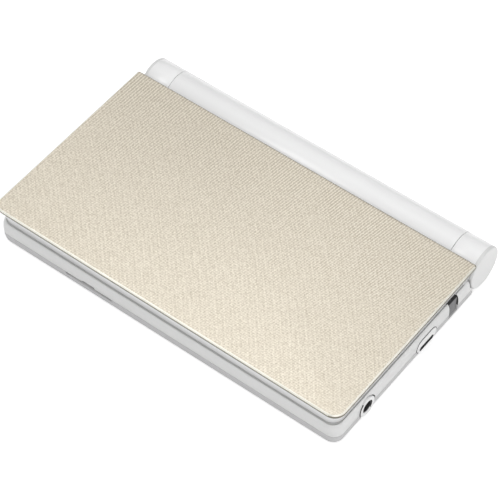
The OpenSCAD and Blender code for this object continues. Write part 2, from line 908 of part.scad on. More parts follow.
module stylus_channel() {
    x0 = stylus_end_x - stylus_len - 2;
    translate([x0, stylus_y - channel_half, floor_z - eps])
        cube([side_x - notch_depth - x0, 2 * channel_half, channel_top_z - floor_z + eps]);
}

// Pads that the main board lies on
module board_rests() {
    for (x = [-0.87, 0, 0.83] * board_half, y = [board_front_y + 6, board_back_y - 3])
        translate([x, y, floor_z - eps])
            cylinder(r = 1.6, h = board_z - floor_z + eps);
}

module at_feet() {
    for (s = [-1, 1], y = [base_front_y + foot_front_in, base_back_y - foot_back_in])
        translate([s * (base_half - foot_side_in), y, 0])
            children();
}

module rubber_feet() {
    color("dimgray")
        at_feet()
            cylinder(r = foot_d / 2, h = foot_h + foot_seat);
}

module case_screws() {
    color("gray")
        at_case_posts() {
            translate([0, 0, base_z])
                cylinder(r = screw_head_d / 2, h = case_head_t);
            translate([0, 0, base_z + case_head_t - eps])
                cylinder(r = screw_d / 2, h = part_z + screw_bite - 0.4 - base_z - case_head_t);
        }
}

// ---------------------------------------------------------------- inside the base

module main_board() {
    color("darkgreen")
        difference() {
            translate([-board_half, board_front_y, board_z])
                cube([2 * board_half, board_back_y - board_front_y, board_t]);
            translate([side_x - jack_len - 4.5, jack_y - jack_half - 0.4, board_z - 1])
                cube([reach, 2 * jack_half + 0.8, board_t + 2]);
            translate([side_x - usb_box_len - 5, usb_y - usb_box_w / 2 - 0.4, board_z - 1])
                cube([reach, usb_box_w + 0.8, board_t + 2]);
            translate([card_x - card_w / 2 - 0.4, board_front_y - 1, board_z - 1])
                cube([card_w + 0.8, card_depth + 1, board_t + 2]);
        }
}

// Rubber sheet under the key rows, notched round the covered socket
module key_membrane() {
    membrane_half = base_half - 9;
    notch = 0.4;
    color("lightgray")
        difference() {
            translate([-membrane_half, membrane_front_y, membrane_z])
                cube([2 * membrane_half, membrane_back_y - membrane_front_y, membrane_t]);
            translate([side_x - usb_back - usb_box_len - notch - 0.1, usb_y - usb_box_w / 2 - notch,
                membrane_z - 1])
                cube([reach, usb_box_w + 2 * notch, membrane_t + 2]);
        }
}

module pad_window() {
    color("lightgray")
        block(pad_w - 0.3, pad_d - 0.3, 0.85, deck_z - pad_t, pad_t, 0, pad_y);
}

module pad_panel() {
    color("darkseagreen")
        block(pad_w - 2 * pad_rim, pad_d - pad_rim, 0.5, membrane_z + pad_frame_t,
            deck_z - pad_t - membrane_z - pad_frame_t - face_gap, 0, pad_y);
}

module pad_frame() {
    color("dimgray")
        difference() {
            block(pad_w, pad_d, 0.8, membrane_z, pad_frame_t, 0, pad_y);
            block(pad_w - pad_d * 0.42, pad_d * 0.58, 0.8, membrane_z - 1, pad_frame_t + 2, 0, pad_y);
        }
}

module speaker() {
    cone_r = 0.75 * speaker_r;
    color("dimgray")
        translate([speaker_x, pad_y, membrane_z])
            difference() {
                cylinder(r = speaker_r, h = deck_under_z - face_gap - membrane_z);
                translate([0, 0, deck_under_z - face_gap - membrane_z - 0.8])
                    cylinder(r = cone_r, h = 2);
            }
}

// One key: cap through the deck, flange under it
module key(w, d) {
    block(w, d, key_r, flange_z + flange_t - eps, key_top_z - flange_z - flange_t + eps);
    block(w + 2 * key_play + 2 * flange_lip, d + 2 * key_play + 2 * flange_lip, key_r,
        flange_z, flange_t);
}

module key_row(i) {
    color(i == 1 ? "silver" : "white")
        for (column = [0:key_columns - 1])
            translate([key_x(column), row_y(i), 0])
                key(key_w, key_d);
}

module volume_keys() {
    color("silver")
        for (t = [-1, 1])
            translate([volume_x, pad_y + t * volume_dy, 0])
                key(volume_w, volume_d);
}

module corner_keys() {
    color("silver")
        for (s = [-1, 1], t = [-1, 1])
            translate([ring_x + s * corner_dx, pad_y + t * corner_dy, 0])
                key(corner_w, corner_d);
}

module cursor_ring() {
    color("silver")
        translate([ring_x, pad_y, 0])
            difference() {
                union() {
                    translate([0, 0, flange_z])
                        cylinder(r = ring_d / 2, h = key_top_z - flange_z);
                    translate([0, 0, flange_z])
                        cylinder(r = ring_d / 2 + key_play + flange_lip, h = flange_t);
                }
                cylinder(r = ring_bore_d / 2, h = 2 * rim_z);
            }
}

module enter_key() {
    color("white")
        translate([ring_x, pad_y, flange_z])
            cylinder(r = enter_d / 2, h = key_top_z - flange_z);
}

// ---------------------------------------------------------------- sockets

module headphone_jack() {
    x1 = side_x - collar_len - socket_back - 0.1;
    color("black")
        difference() {
            translate([x1 - jack_len, jack_y - jack_half, floor_z])
                cube([jack_len, 2 * jack_half, deck_under_z - floor_z - 0.3]);
            xrod(jack_bore / 2, x1 - jack_len + 1, x1 + 1, jack_y, jack_z);
        }
}

module jack_collar() {
    color("white")
        intersection() {
            difference() {
                union() {
                    xrod(collar_d / 2, side_x - collar_len, side_x + collar_proud, jack_y, jack_z);
                    xrod(collar_d / 2 + collar_play, side_x - collar_len,
                        side_x - collar_len + collar_flange_t, jack_y, jack_z);
                }
                xrod(collar_mouth_r, side_x - collar_len - 1, side_x + 1, jack_y, jack_z);
            }
            translate([0, jack_y - reach, base_z])
                cube([panel_w, 2 * reach, rim_z]);
        }
}

module usb_socket() {
    x1 = side_x - usb_back - 0.1;
    color("silver")
        difference() {
            translate([x1 - usb_box_len, usb_y - usb_box_w / 2, floor_z])
                cube([usb_box_len, usb_box_w, usb_box_h]);
            translate([x1 - usb_box_len + 1, usb_y - usb_mouth_w / 2,
                floor_z + (usb_box_h - usb_mouth_h) / 2])
                cube([usb_box_len, usb_mouth_w, usb_mouth_h]);
        }
}

module usb_cover() {
    color("white")
        difference() {
            xslot(usb_len, usb_h, side_x - usb_cover_t, side_x + 0.1, usb_y, usb_z);
            xslot(0.7 * usb_len, usb_nail_h, side_x - usb_cover_t - 1, side_x + 1, usb_y,
                usb_z - usb_nail_drop);
        }
}

module card_socket() {
    color("silver")
        difference() {
            translate([card_x - card_w / 2, room_front_y + card_back, card_z - card_wall / 2])
                cube([card_w, card_depth, card_box_h]);
            translate([card_x - card_w / 2 + card_wall, room_front_y - 1, card_z])
                cube([card_w - 2 * card_wall, card_depth, card_slot_h]);
        }
}

// ---------------------------------------------------------------- stylus

module stylus_head() {
    color("gray")
        translate([stylus_end_x - stylus_head_len, stylus_y - stylus_head_w / 2 + stylus_play,
            head_low_z])
            cube([stylus_head_len, stylus_head_w - 2 * stylus_play, head_high_z - head_low_z]);
}

module stylus_barrel() {
    color("darkgray")
        xrod(stylus_d / 2, stylus_end_x - stylus_len + stylus_tip_len, stylus_end_x - stylus_head_len,
            stylus_y, stylus_z);
}

module stylus_tip() {
    color("black")
        translate([stylus_end_x - stylus_len, stylus_y, stylus_z])
            rotate([0, 90, 0])
                cylinder(r1 = 0.6, r2 = stylus_d / 2, h = stylus_tip_len);
}

lid_panel();
lid_shell();
lid_bezel();
display_window();
lcd_panel();
backlight();
display_board();
lid_bumpers();
lid_screws();
left_end_cap();
right_end_cap();
hinge_shaft();
cable_bush();
display_cable();
upper_case();
lower_case();
battery_barrel();
click_hinge_case();
battery_cover();
battery_1();
battery_2();
battery_spring();
battery_contacts();
main_board();
key_membrane();
pad_window();
pad_panel();
pad_frame();
speaker();
key_row(1);  // key_row_1
key_row(2);  // key_row_2
key_row(3);  // key_row_3
key_row(4);  // key_row_4
key_row(5);  // key_row_5
volume_keys();
corner_keys();
cursor_ring();
enter_key();
headphone_jack();
jack_collar();
usb_socket();
usb_cover();
card_socket();
stylus_head();
stylus_barrel();
stylus_tip();
rubber_feet();
case_screws();
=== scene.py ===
import math

import bmesh
import bpy
from mathutils import Matrix, Vector


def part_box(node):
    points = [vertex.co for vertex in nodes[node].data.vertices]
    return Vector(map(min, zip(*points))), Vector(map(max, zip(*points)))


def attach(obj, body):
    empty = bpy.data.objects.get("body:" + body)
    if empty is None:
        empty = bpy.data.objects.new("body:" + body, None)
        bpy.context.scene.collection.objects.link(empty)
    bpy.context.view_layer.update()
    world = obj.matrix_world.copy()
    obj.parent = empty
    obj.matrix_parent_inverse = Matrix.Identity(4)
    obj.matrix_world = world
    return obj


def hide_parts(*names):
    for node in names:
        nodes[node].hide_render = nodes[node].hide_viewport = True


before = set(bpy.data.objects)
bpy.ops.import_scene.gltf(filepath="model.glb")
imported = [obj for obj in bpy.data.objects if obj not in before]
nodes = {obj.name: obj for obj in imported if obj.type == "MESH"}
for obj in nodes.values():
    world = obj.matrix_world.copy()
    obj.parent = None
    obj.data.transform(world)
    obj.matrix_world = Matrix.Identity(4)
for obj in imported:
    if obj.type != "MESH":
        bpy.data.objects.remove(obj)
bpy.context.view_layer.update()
scene = bpy.context.scene
scene.view_settings.view_transform = "Standard"

# ------------------------------------------------------------------ camera
# A long lens looks down on the front right corner of the closed dictionary.
# The direction, distance and lens were found from the straight edges in the photograph.

AIM = Vector((0.00743, -0.007615, 0.0152))
AZIMUTH, ELEVATION, ROLL = (math.radians(a) for a in (37.626, 51.523, -0.152))
CAMERA_DISTANCE = 0.7083
LENS_MM = 166.38

back = Vector((math.sin(AZIMUTH) * math.cos(ELEVATION),
               -math.cos(AZIMUTH) * math.cos(ELEVATION), math.sin(ELEVATION)))
level = Vector((math.cos(AZIMUTH), math.sin(AZIMUTH), 0))
right = level * math.cos(ROLL) + back.cross(level) * math.sin(ROLL)
camera = bpy.data.objects.new("camera", bpy.data.cameras.new("camera"))
scene.collection.objects.link(camera)
axes = Matrix((right, back.cross(right), back)).transposed()
camera.matrix_world = Matrix.Translation(AIM + back * CAMERA_DISTANCE) @ axes.to_4x4()
camera.data.sensor_width = 36
camera.data.lens = LENS_MM
camera.data.clip_start = 0.05
scene.camera = camera

# ------------------------------------------------------------------ table top and light
# A pale table top under soft boxes. It shows as white to the camera and in reflections,
# and still takes the soft shadow under the case.

FLOOR_SIZE = 6
FLOOR_COLOUR = (0.86, 0.86, 0.86, 1)
FLOOR_GLOW = 0.47


def new_material(name):
    """A material with its nodes, its shader and a way to add and join nodes."""
    material = bpy.data.materials.new(name)
    material.use_nodes = True
    tree = material.node_tree

    def add(kind, inputs=None, **settings):
        made = tree.nodes.new(kind)
        for key, value in settings.items():
            setattr(made, key, value)
        for key, value in (inputs or {}).items():
            if isinstance(value, bpy.types.NodeSocket):
                tree.links.new(value, made.inputs[key])
            else:
                made.inputs[key].default_value = value
        return made

    return material, tree.nodes["Principled BSDF"], add


def white_to_camera(tree, glow):
    """Emission that only the camera, reflections and glass see."""
    path = tree.nodes.new("ShaderNodeLightPath")
    seen = path.outputs["Is Camera Ray"]
    for ray in ("Is Glossy Ray", "Is Transmission Ray"):
        larger = tree.nodes.new("ShaderNodeMath")
        larger.operation = "MAXIMUM"
        tree.links.new(seen, larger.inputs[0])
        tree.links.new(path.outputs[ray], larger.inputs[1])
        seen = larger.outputs[0]
    times = tree.nodes.new("ShaderNodeMath")
    times.operation = "MULTIPLY"
    tree.links.new(seen, times.inputs[0])
    times.inputs[1].default_value = glow
    return times.outputs[0]


bpy.ops.object.select_all(action="DESELECT")
bpy.ops.mesh.primitive_plane_add(size=FLOOR_SIZE)
table_top = bpy.context.object
table_top.name = "table_top"
table_white, shader, add = new_material("table_white")
shader.inputs["Base Color"].default_value = FLOOR_COLOUR
shader.inputs["Roughness"].default_value = 0.9
shader.inputs["Specular IOR Level"].default_value = 0
shader.inputs["Emission Color"].default_value = (1, 1, 1, 1)
table_white.node_tree.links.new(white_to_camera(table_white.node_tree, FLOOR_GLOW),
                                shader.inputs["Emission Strength"])
table_top.data.materials.append(table_white)

WORLD_LEVEL = 0.36
world = bpy.data.worlds.new("studio")
world.use_nodes = True
scene.world = world
sky = world.node_tree.nodes["Background"]
sky.inputs["Color"].default_value = (1, 1, 1, 1)
path = world.node_tree.nodes.new("ShaderNodeLightPath")
extra = world.node_tree.nodes.new("ShaderNodeMath")
extra.operation = "MULTIPLY_ADD"
world.node_tree.links.new(path.outputs["Is Camera Ray"], extra.inputs[0])
extra.inputs[1].default_value = 1 - WORLD_LEVEL
extra.inputs[2].default_value = WORLD_LEVEL
world.node_tree.links.new(extra.outputs[0], sky.inputs["Strength"])


def soft_box(name, place, aim, size, power):
    """A rectangular lamp at a place in metres, turned towards a point."""
    lamp = bpy.data.objects.new(name, bpy.data.lights.new(name, "AREA"))
    scene.collection.objects.link(lamp)
    lamp.data.shape = "RECTANGLE"
    lamp.data.size, lamp.data.size_y = size
    lamp.data.energy = power
    lamp.location = place
    lamp.rotation_euler = (Vector(aim) - Vector(place)).to_track_quat("-Z", "Y").to_euler()


MIDDLE, PANEL_MIDDLE = (0, 0, 0), (0, -0.03, 0.016)
for name, place, aim, size, power in (
        ("key_box", (0.45, -0.40, 0.60), MIDDLE, (0.5, 0.5), 1.9),
        ("right_box", (0.70, 0.20, 0.24), MIDDLE, (0.5, 0.2), 0.55),
        ("top_box", (0, 0, 0.90), MIDDLE, (0.6, 0.6), 0.35),
        ("rim_front", (-0.33, -0.28, 0.72), MIDDLE, (0.25, 0.25), 0.95),
        ("sheen_left", (-0.42, 0.10, 0.42), PANEL_MIDDLE, (0.30, 0.26), 0.112),
        ("sheen_middle", (-0.12, 0.10, 0.42), PANEL_MIDDLE, (0.30, 0.26), 0.195),
        ("sheen_right", (0.18, 0.10, 0.42), PANEL_MIDDLE, (0.30, 0.26), 0.210),
        ("sheen_rear_left", (-0.42, 0.40, 0.42), PANEL_MIDDLE, (0.40, 0.30), 0.137),
        ("sheen_rear", (-0.05, 0.40, 0.42), PANEL_MIDDLE, (0.40, 0.30), 0.108)):
    soft_box(name, place, aim, size, power)

# ------------------------------------------------------------------ lid panel
# A thin aluminium plate, anodised champagne and finely embossed like woven cloth. Its
# rounded rim is polished; its vertical edge, its underside and a band along the rear are
# painted dark as shade for the shadow under the plate and the gap before the barrel, and on
# the right the painted shade reaches higher up the rim. It is glued on top of the lid shell.

PLATE_LOW, PLATE_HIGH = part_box("lid_panel")
PLATE_FRONT_CORNER = 0.004
PLATE_REAR_CORNER = 0.0008
RIM_ROUND = 0.0005
# how far down the rim keeps its polished colour, at the front and left and on the right; below
# that the rim is painted shade, and so is a band along the rear
LIT_RIM_DEPTH, LIT_RIM_DEPTH_RIGHT = RIM_ROUND, 0.00035
REAR_SHADE_BAND = 0.0004
UNDER_ROUND = 0.0001


def start_editing(piece, part="EDGE"):
    bpy.ops.object.select_all(action="DESELECT")
    bpy.context.view_layer.objects.active = piece
    piece.select_set(True)
    bpy.ops.object.mode_set(mode="EDIT")
    bpy.ops.mesh.select_mode(type=part)
    bpy.ops.mesh.select_all(action="DESELECT")


def pick(piece, chosen, part="edges"):
    """Selects the parts of a mesh being edited for which chosen says yes."""
    mesh = bmesh.from_edit_mesh(piece.data)
    for item in getattr(mesh, part):
        item.select_set(bool(chosen(item)))
    mesh.select_flush_mode()
    bmesh.update_edit_mesh(piece.data)


def middle(edge):
    return (edge.verts[0].co + edge.verts[1].co) / 2


def upright(edge):
    along = edge.verts[1].co - edge.verts[0].co
    return abs(along.z) > 0.99 * along.length


def block(name, low, high):
    """A box between two corners, with its place in its mesh."""
    low, high = Vector(low), Vector(high)
    bpy.ops.object.select_all(action="DESELECT")
    bpy.ops.mesh.primitive_cube_add(size=1)
    piece = bpy.context.object
    piece.name = name
    bpy.ops.object.mode_set(mode="EDIT")
    bpy.ops.transform.resize(value=high - low)
    bpy.ops.transform.translate(value=(low + high) / 2)
    bpy.ops.object.mode_set(mode="OBJECT")
    return piece


def smooth(piece, angle):
    bpy.ops.object.select_all(action="DESELECT")
    bpy.context.view_layer.objects.active = piece
    piece.select_set(True)
    bpy.ops.object.shade_smooth_by_angle(angle=math.radians(angle))


woven_plate = block("woven_lid_plate", PLATE_LOW, PLATE_HIGH)
start_editing(woven_plate)
pick(woven_plate, lambda e: upright(e) and middle(e).y < 0)
bpy.ops.mesh.bevel(offset=PLATE_FRONT_CORNER, segments=12, affect="EDGES")
pick(woven_plate, lambda e: upright(e) and middle(e).y > PLATE_HIGH.y - 1e-6)
bpy.ops.mesh.bevel(offset=PLATE_REAR_CORNER, segments=5, affect="EDGES")
pick(woven_plate, lambda e: all(v.co.z > PLATE_HIGH.z - 1e-6 for v in e.verts))
bpy.ops.mesh.bevel(offset=RIM_ROUND, segments=4, affect="EDGES")
pick(woven_plate, lambda v: v.co.z > PLATE_HIGH.z - 1e-6 and v.co.y > PLATE_HIGH.y - 0.001,
     "verts")
bpy.ops.transform.translate(value=(0, -REAR_SHADE_BAND, 0))
bpy.ops.mesh.select_all(action="DESELECT")
pick(woven_plate, lambda e: all(v.co.z < PLATE_LOW.z + 1e-6 for v in e.verts))
bpy.ops.mesh.bevel(offset=UNDER_ROUND, segments=2, affect="EDGES")
bpy.ops.object.mode_set(mode="OBJECT")
smooth(woven_plate, 50)


# ribs per metre along X and Y, how much they bend, and how strongly each kind shows
WARP, WARP_BEND, WARP_SHARE = (1122, -168), 1180, 0.43
TWILL, TWILL_BEND, TWILL_SHARE = (565, 560), 550, 0.085
WEFT, WEFT_SHARE = (0, 1291), 0.12
SLUB, SLUB_SHARE = (322, 249), 0.9
BEND_DIRECTION = (1, -1.3, 0)
SPECK_SHARE = 2.1
# the ribs show less towards the front, in colour and relief: painted sheen, standing for the
# reflection that shows the weave more strongly at the rear
WARP_FRONT, WARP_REAR = -0.034, 0.022
FADE_POWER, FADE_LEAST = 2.0, 0.25
VALLEY_COLOUR, CREST_COLOUR = (0.60, 0.532, 0.42, 1), (0.95, 0.888, 0.765, 1)
WEAVE_DEPTH = 0.00002


def maths(add, operation, first, second=0.0, third=0.0):
    return add("ShaderNodeMath", {0: first, 1: second, 2: third}, operation=operation).outputs[0]


def wave(add, direction, name, bend=0.0):
    """Ribs across a direction, in ribs per metre along X and Y, which bend slowly."""
    place = add("ShaderNodeTexCoord").outputs["Object"]
    turns = tuple(2 * math.pi * d for d in direction)
    phase = add("ShaderNodeVectorMath", {0: place, 1: (*turns, 0)}, operation="DOT_PRODUCT")
    phase = phase.outputs["Value"]
    if bend:
        aslant = add("ShaderNodeVectorMath", {0: place, 1: BEND_DIRECTION},
                     operation="DOT_PRODUCT").outputs["Value"]
        square = maths(add, "MULTIPLY", aslant, aslant)
        phase = maths(add, "MULTIPLY_ADD", square, math.pi * bend, phase)
    made = add("ShaderNodeMath", {0: phase}, operation="SINE")
    made.label = name
    return made.outputs[0]


def blend_colours(add, share, first, second):
    mixed = add("ShaderNodeMix", data_type="RGBA")
    for socket, value in ((mixed.inputs[0], share), (mixed.inputs[6], first),
                          (mixed.inputs[7], second)):
        if isinstance(value, bpy.types.NodeSocket):
            mixed.id_data.links.new(value, socket)
        else:
            socket.default_value = value
    return mixed.outputs[2]


woven, shader, add = new_material("woven_champagne")
place = add("ShaderNodeTexCoord").outputs["Object"]
depth = add("ShaderNodeSeparateXYZ", {0: place}).outputs["Y"]
warp = wave(add, WARP, "warp", WARP_BEND)
weft = wave(add, WEFT, "weft")
twill = wave(add, TWILL, "twill", TWILL_BEND)
specks = add("ShaderNodeTexNoise", {"Vector": place, "Scale": 2500, "Detail": 2,
                                    "Roughness": 0.6}).outputs["Fac"]
patches = add("ShaderNodeTexNoise", {"Vector": place, "Scale": 110, "Detail": 1}).outputs["Fac"]
thread = maths(add, "MULTIPLY_ADD", weft, 0.35, 1.0)
thread = maths(add, "MULTIPLY", thread, warp)
thread = maths(add, "MULTIPLY", thread, maths(add, "MULTIPLY_ADD", patches, 1.6, 0.2))
# painted sheen: the warp and the slubs change from the rear to the front
fade = add("ShaderNodeMapRange", {"Value": depth, "From Min": WARP_FRONT,
                                  "From Max": WARP_REAR}).outputs["Result"]
fade = maths(add, "POWER", fade, FADE_POWER)
fade = maths(add, "MULTIPLY_ADD", fade, 1 - FADE_LEAST, FADE_LEAST)
thread = maths(add, "MULTIPLY", thread, fade)
slub = maths(add, "MULTIPLY", wave(add, SLUB, "slub"), maths(add, "SUBTRACT", 1.0, fade))
slub = maths(add, "MULTIPLY_ADD", slub, SLUB_SHARE, 1.0)
twill = maths(add, "MULTIPLY", twill, slub)
height = maths(add, "MULTIPLY_ADD", thread, WARP_SHARE, 0.5)
height = maths(add, "MULTIPLY_ADD", weft, WEFT_SHARE, height)
height = maths(add, "MULTIPLY_ADD", twill, TWILL_SHARE, height)
height = maths(add, "MULTIPLY_ADD", maths(add, "SUBTRACT", specks, 0.5), SPECK_SHARE, height)
colour = blend_colours(add, height, VALLEY_COLOUR, CREST_COLOUR)
bump = add("ShaderNodeBump", {"Height": height, "Strength": 1.0, "Distance": WEAVE_DEPTH})
tree = woven.node_tree
tree.links.new(colour, shader.inputs["Base Color"])
tree.links.new(bump.outputs[0], shader.inputs["Normal"])
shader.inputs["Metallic"].default_value = 0.75
shader.inputs["Roughness"].default_value = 0.36

bright, shader, add = new_material("polished_rim")
place = add("ShaderNodeTexCoord").outputs["Object"]
grain = add("ShaderNodeTexNoise", {"Vector": place, "Scale": 900, "Detail": 2}).outputs["Fac"]
tree = bright.node_tree
tree.links.new(blend_colours(add, grain, (0.93, 0.90, 0.80, 1), (1, 0.98, 0.90, 1)),
               shader.inputs["Base Color"])
tree.links.new(maths(add, "MULTIPLY_ADD", grain, 0.03, 0.28), shader.inputs["Roughness"])
shader.inputs["Metallic"].default_value = 0.6

# painted shade: a dark olive for the shadow under the plate's edge and the gap behind it
rim_shade, shader, add = new_material("rim_painted_shade")
place = add("ShaderNodeTexCoord").outputs["Object"]
grain = add("ShaderNodeTexNoise", {"Vector": place, "Scale": 700, "Detail": 2}).outputs["Fac"]
tree = rim_shade.node_tree
tree.links.new(blend_colours(add, grain, (0.16, 0.148, 0.11, 1), (0.23, 0.21, 0.16, 1)),
               shader.inputs["Base Color"])
tree.links.new(maths(add, "MULTIPLY_ADD", grain, 0.15, 0.4), shader.inputs["Roughness"])
shader.inputs["Metallic"].default_value = 0.3

for material in (woven, bright, rim_shade):
    woven_plate.data.materials.append(material)
# the weave goes on top, the polished colour on the rim's upper part, painted shade on the rest of
# the rim and along the rear
for face in woven_plate.data.polygons:
    if face.normal.z > 0.99:
        face.material_index = 0
    else:
        polished = LIT_RIM_DEPTH if face.normal.x < 0.1 else LIT_RIM_DEPTH_RIGHT
        rear = face.center.y >= PLATE_HIGH.y - RIM_ROUND - REAR_SHADE_BAND
        lit_rim_part = face.center.z > PLATE_HIGH.z - polished and not rear
        face.material_index = 1 if lit_rim_part else 2
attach(woven_plate, "lid")
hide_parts("lid_panel")

# ------------------------------------------------------------------ lid shell and end caps
# The lid shell carries the panel and the outer knuckles, injection moulded in glossy pearl
# white. A round cap, a shade darker, is pressed into the outer end of each knuckle; its rim
# is painted darker still as shade for the seam line round it.


def plastic(name, colour, roughness, grain_scale, grain, coat=0.0):
    """Moulded plastic: a faint mottle in its colour and a fine grain on its skin."""
    material, shader, add = new_material(name)
    place = add("ShaderNodeTexCoord").outputs["Object"]
    cloud = add("ShaderNodeTexNoise", {"Vector": place, "Scale": 60, "Detail": 2}).outputs["Fac"]
    skin = add("ShaderNodeTexNoise", {"Vector": place, "Scale": grain_scale,
                                      "Detail": 3}).outputs["Fac"]
    darker = tuple(c * 0.96 for c in colour) + (1,)
    links = material.node_tree.links
    links.new(blend_colours(add, cloud, darker, (*colour, 1)), shader.inputs["Base Color"])
    links.new(maths(add, "MULTIPLY_ADD", skin, 0.12, roughness - 0.06), shader.inputs["Roughness"])
    bump = add("ShaderNodeBump", {"Height": skin, "Strength": grain, "Distance": 0.00003})
    links.new(bump.outputs[0], shader.inputs["Normal"])
    shader.inputs["Coat Weight"].default_value = coat
    shader.inputs["Coat Roughness"].default_value = 0.12
    return material


def merged_copy(node, name):
    """A CAD node's solid as a new piece, with its doubles merged and flat faces joined."""
    mesh = nodes[node].data.copy()
    mesh.materials.clear()
    piece = bpy.data.objects.new(name, mesh)
    scene.collection.objects.link(piece)
    start_editing(piece, "VERT")
    bpy.ops.mesh.select_all(action="SELECT")
    bpy.ops.mesh.remove_doubles(threshold=1e-6)
    bpy.ops.mesh.dissolve_limited(angle_limit=math.radians(0.5))
    bpy.ops.object.mode_set(mode="OBJECT")
    return piece


def soften(piece, edge, angle=30):
    """Rounds the sharp edges of a moulding, as its tool has them."""
    bevel = piece.modifiers.new("soft_edges", "BEVEL")
    bevel.width = edge
    bevel.segments = 2
    bevel.limit_method = "ANGLE"
    bevel.angle_limit = math.radians(angle)
    bevel.use_clamp_overlap = True
    bpy.context.view_layer.objects.active = piece
    bpy.ops.object.modifier_apply(modifier=bevel.name)


def finish_piece(piece, node, body, slot, materials, angle=30):
    """Gives a piece its materials and shading, attaches it to its body and hides its node. The
    slot argument is not used.
    """
    for material in materials:
        piece.data.materials.append(material)
    smooth(piece, angle)
    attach(piece, body)
    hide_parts(node)


def finished_copy(node, name, material, body, slot, edge=0.00012, angle=30):
    """Copies a node as one piece, softens its edges and finishes it."""
    piece = merged_copy(node, name)
    if edge:
        soften(piece, edge, angle)
    finish_piece(piece, node, body, slot, [material], angle)


pearl_white = plastic("pearl_white", (0.93, 0.93, 0.93), 0.30, 1500, 0.05, coat=0.3)
finished_copy("lid_shell", "lid_shell_moulding", pearl_white, "lid", "white_shell")
CAP_FACE = 0.8
cap_white = plastic("cap_white", (0.84, 0.84, 0.835), 0.38, 1500, 0.05, coat=0.2)
cap_wall_shade = plastic("cap_wall_shade", (0.74, 0.74, 0.735), 0.4, 1500, 0.05)
for node, name in (("left_end_cap", "left_cap_moulding"), ("right_end_cap", "right_cap_moulding")):
    cap = merged_copy(node, name)
    # the cap's rim is painted shade, for the seam line round the cap
    for face in cap.data.polygons:
        face.material_index = 1 if abs(face.normal.x) < CAP_FACE else 0
    finish_piece(cap, node, "lid", "white_shell", [cap_white, cap_wall_shade])

# ------------------------------------------------------------------ battery barrel and cover
# The middle of the barrel is part of the base. Its cover slides along the back of it, in the
# same pearl white, with four thumb grooves near one end.

finished_copy("battery_barrel", "barrel_moulding", pearl_white, "base", "white_shell", 0.0001)
finished_copy("battery_cover", "battery_cover_moulding", pearl_white, "battery_cover",
              "white_shell", 0.0001)

# ------------------------------------------------------------------ case halves
# Two mouldings that meet in a fine groove, the upper one satin white and the lower one
# matt and a darker grey, partly its own tone and partly painted shade for the darker band
# along the bottom. The walls of the recesses for the sockets, the stylus and the barrel are
# painted near black as shade. A shallow groove in the rim stands for the dark gap that shows
# under the lid's edge, and its walls are painted grey as the shade in that gap.

AXIS_Y, AXIS_Z = 0.035475, 0.00765
HOLLOW_RADIUS = 0.00806
JACK_Y, JACK_Z, JACK_HOLE = -0.026525, 0.0042, 0.00402
SOCKET_Y, SOCKET_Z = 0.004275, 0.0041
SOCKET_HALF_LENGTH, SOCKET_HALF_HEIGHT = 0.00542, 0.00282
STYLUS_Y, NOTCH_HALF, NOTCH_END = 0.018675, 0.00242, 0.0591
SIDE_X = 0.0658
BASE_Z, BASE_FRONT = 0.0005, -0.042025
JACK_WALL, SOCKET_WALL, NOTCH_FLOOR = 0.0635, 0.0627, 0.0016
SIDE_FACE = 0.7


RECESSES = (
    lambda p: math.hypot(p.y - AXIS_Y, p.z - AXIS_Z) < HOLLOW_RADIUS,
    lambda p: p.x > JACK_WALL and math.hypot(p.y - JACK_Y, p.z - JACK_Z) < JACK_HOLE,
    lambda p: (p.x > SOCKET_WALL and abs(p.y - SOCKET_Y) < SOCKET_HALF_LENGTH
               and abs(p.z - SOCKET_Z) < SOCKET_HALF_HEIGHT),
    lambda p: p.x > NOTCH_END and abs(p.y - STYLUS_Y) < NOTCH_HALF and p.z > NOTCH_FLOOR)


def recess_wall(mesh, face):
    """Whether a face is a wall of one of the recesses at the side or back of the case."""
    corners = [mesh.vertices[v].co for v in face.vertices]
    return face.normal.x < SIDE_FACE and any(all(map(inside, corners)) for inside in RECESSES)


satin_white = plastic("satin_white", (0.86, 0.86, 0.855), 0.42, 2500, 0.08)
# partly painted shade: the lower case is darker for the shade along its bottom band
matt_grey_and_shade = plastic("matt_grey_and_shade", (0.68, 0.675, 0.68), 0.65, 3500, 0.15)
# painted shade: near black for the recess walls, grey for the groove's walls
recess_shade = plastic("recess_shade", (0.05, 0.05, 0.05), 0.7, 2500, 0.1)
groove_shade = plastic("groove_shade", (0.62, 0.62, 0.615), 0.6, 2500, 0.1)

GROOVE_LOW, GROOVE_HIGH = 0.0082, 0.0087
GROOVE_OUT, GROOVE_IN = (0.0648, -0.04130), (0.0642, -0.04065)
GROOVE_CORNER, GROOVE_BACK = 0.0034, 0.0255


def groove_block(name, side, front, rise):
    """A block with rounded front corners, larger by rise at its back, top and bottom."""
    made = block(name, (-side, front, GROOVE_LOW - rise),
                 (side, GROOVE_BACK + rise, GROOVE_HIGH + rise))
    start_editing(made)
    pick(made, lambda e: upright(e) and middle(e).y < 0)
    bpy.ops.mesh.bevel(offset=GROOVE_CORNER, segments=10, affect="EDGES")
    bpy.ops.object.mode_set(mode="OBJECT")
    return made


def cut_away(piece, cutter):
    """Takes a cutter's space out of a piece and removes the cutter."""
    cut = piece.modifiers.new("cut", "BOOLEAN")
    cut.object = cutter
    cut.operation = "DIFFERENCE"
    cut.solver = "EXACT"
    bpy.context.view_layer.objects.active = piece
    bpy.ops.object.modifier_apply(modifier=cut.name)
    bpy.data.objects.remove(cutter)


def outside_by(point, side, front):
    """How far a point lies outside an outline with rounded front corners."""
    across = abs(point.x) - side + GROOVE_CORNER
    along = front + GROOVE_CORNER - point.y
    reach = math.hypot(across, along) if min(across, along) > 0 else max(across, along)
    return reach - GROOVE_CORNER


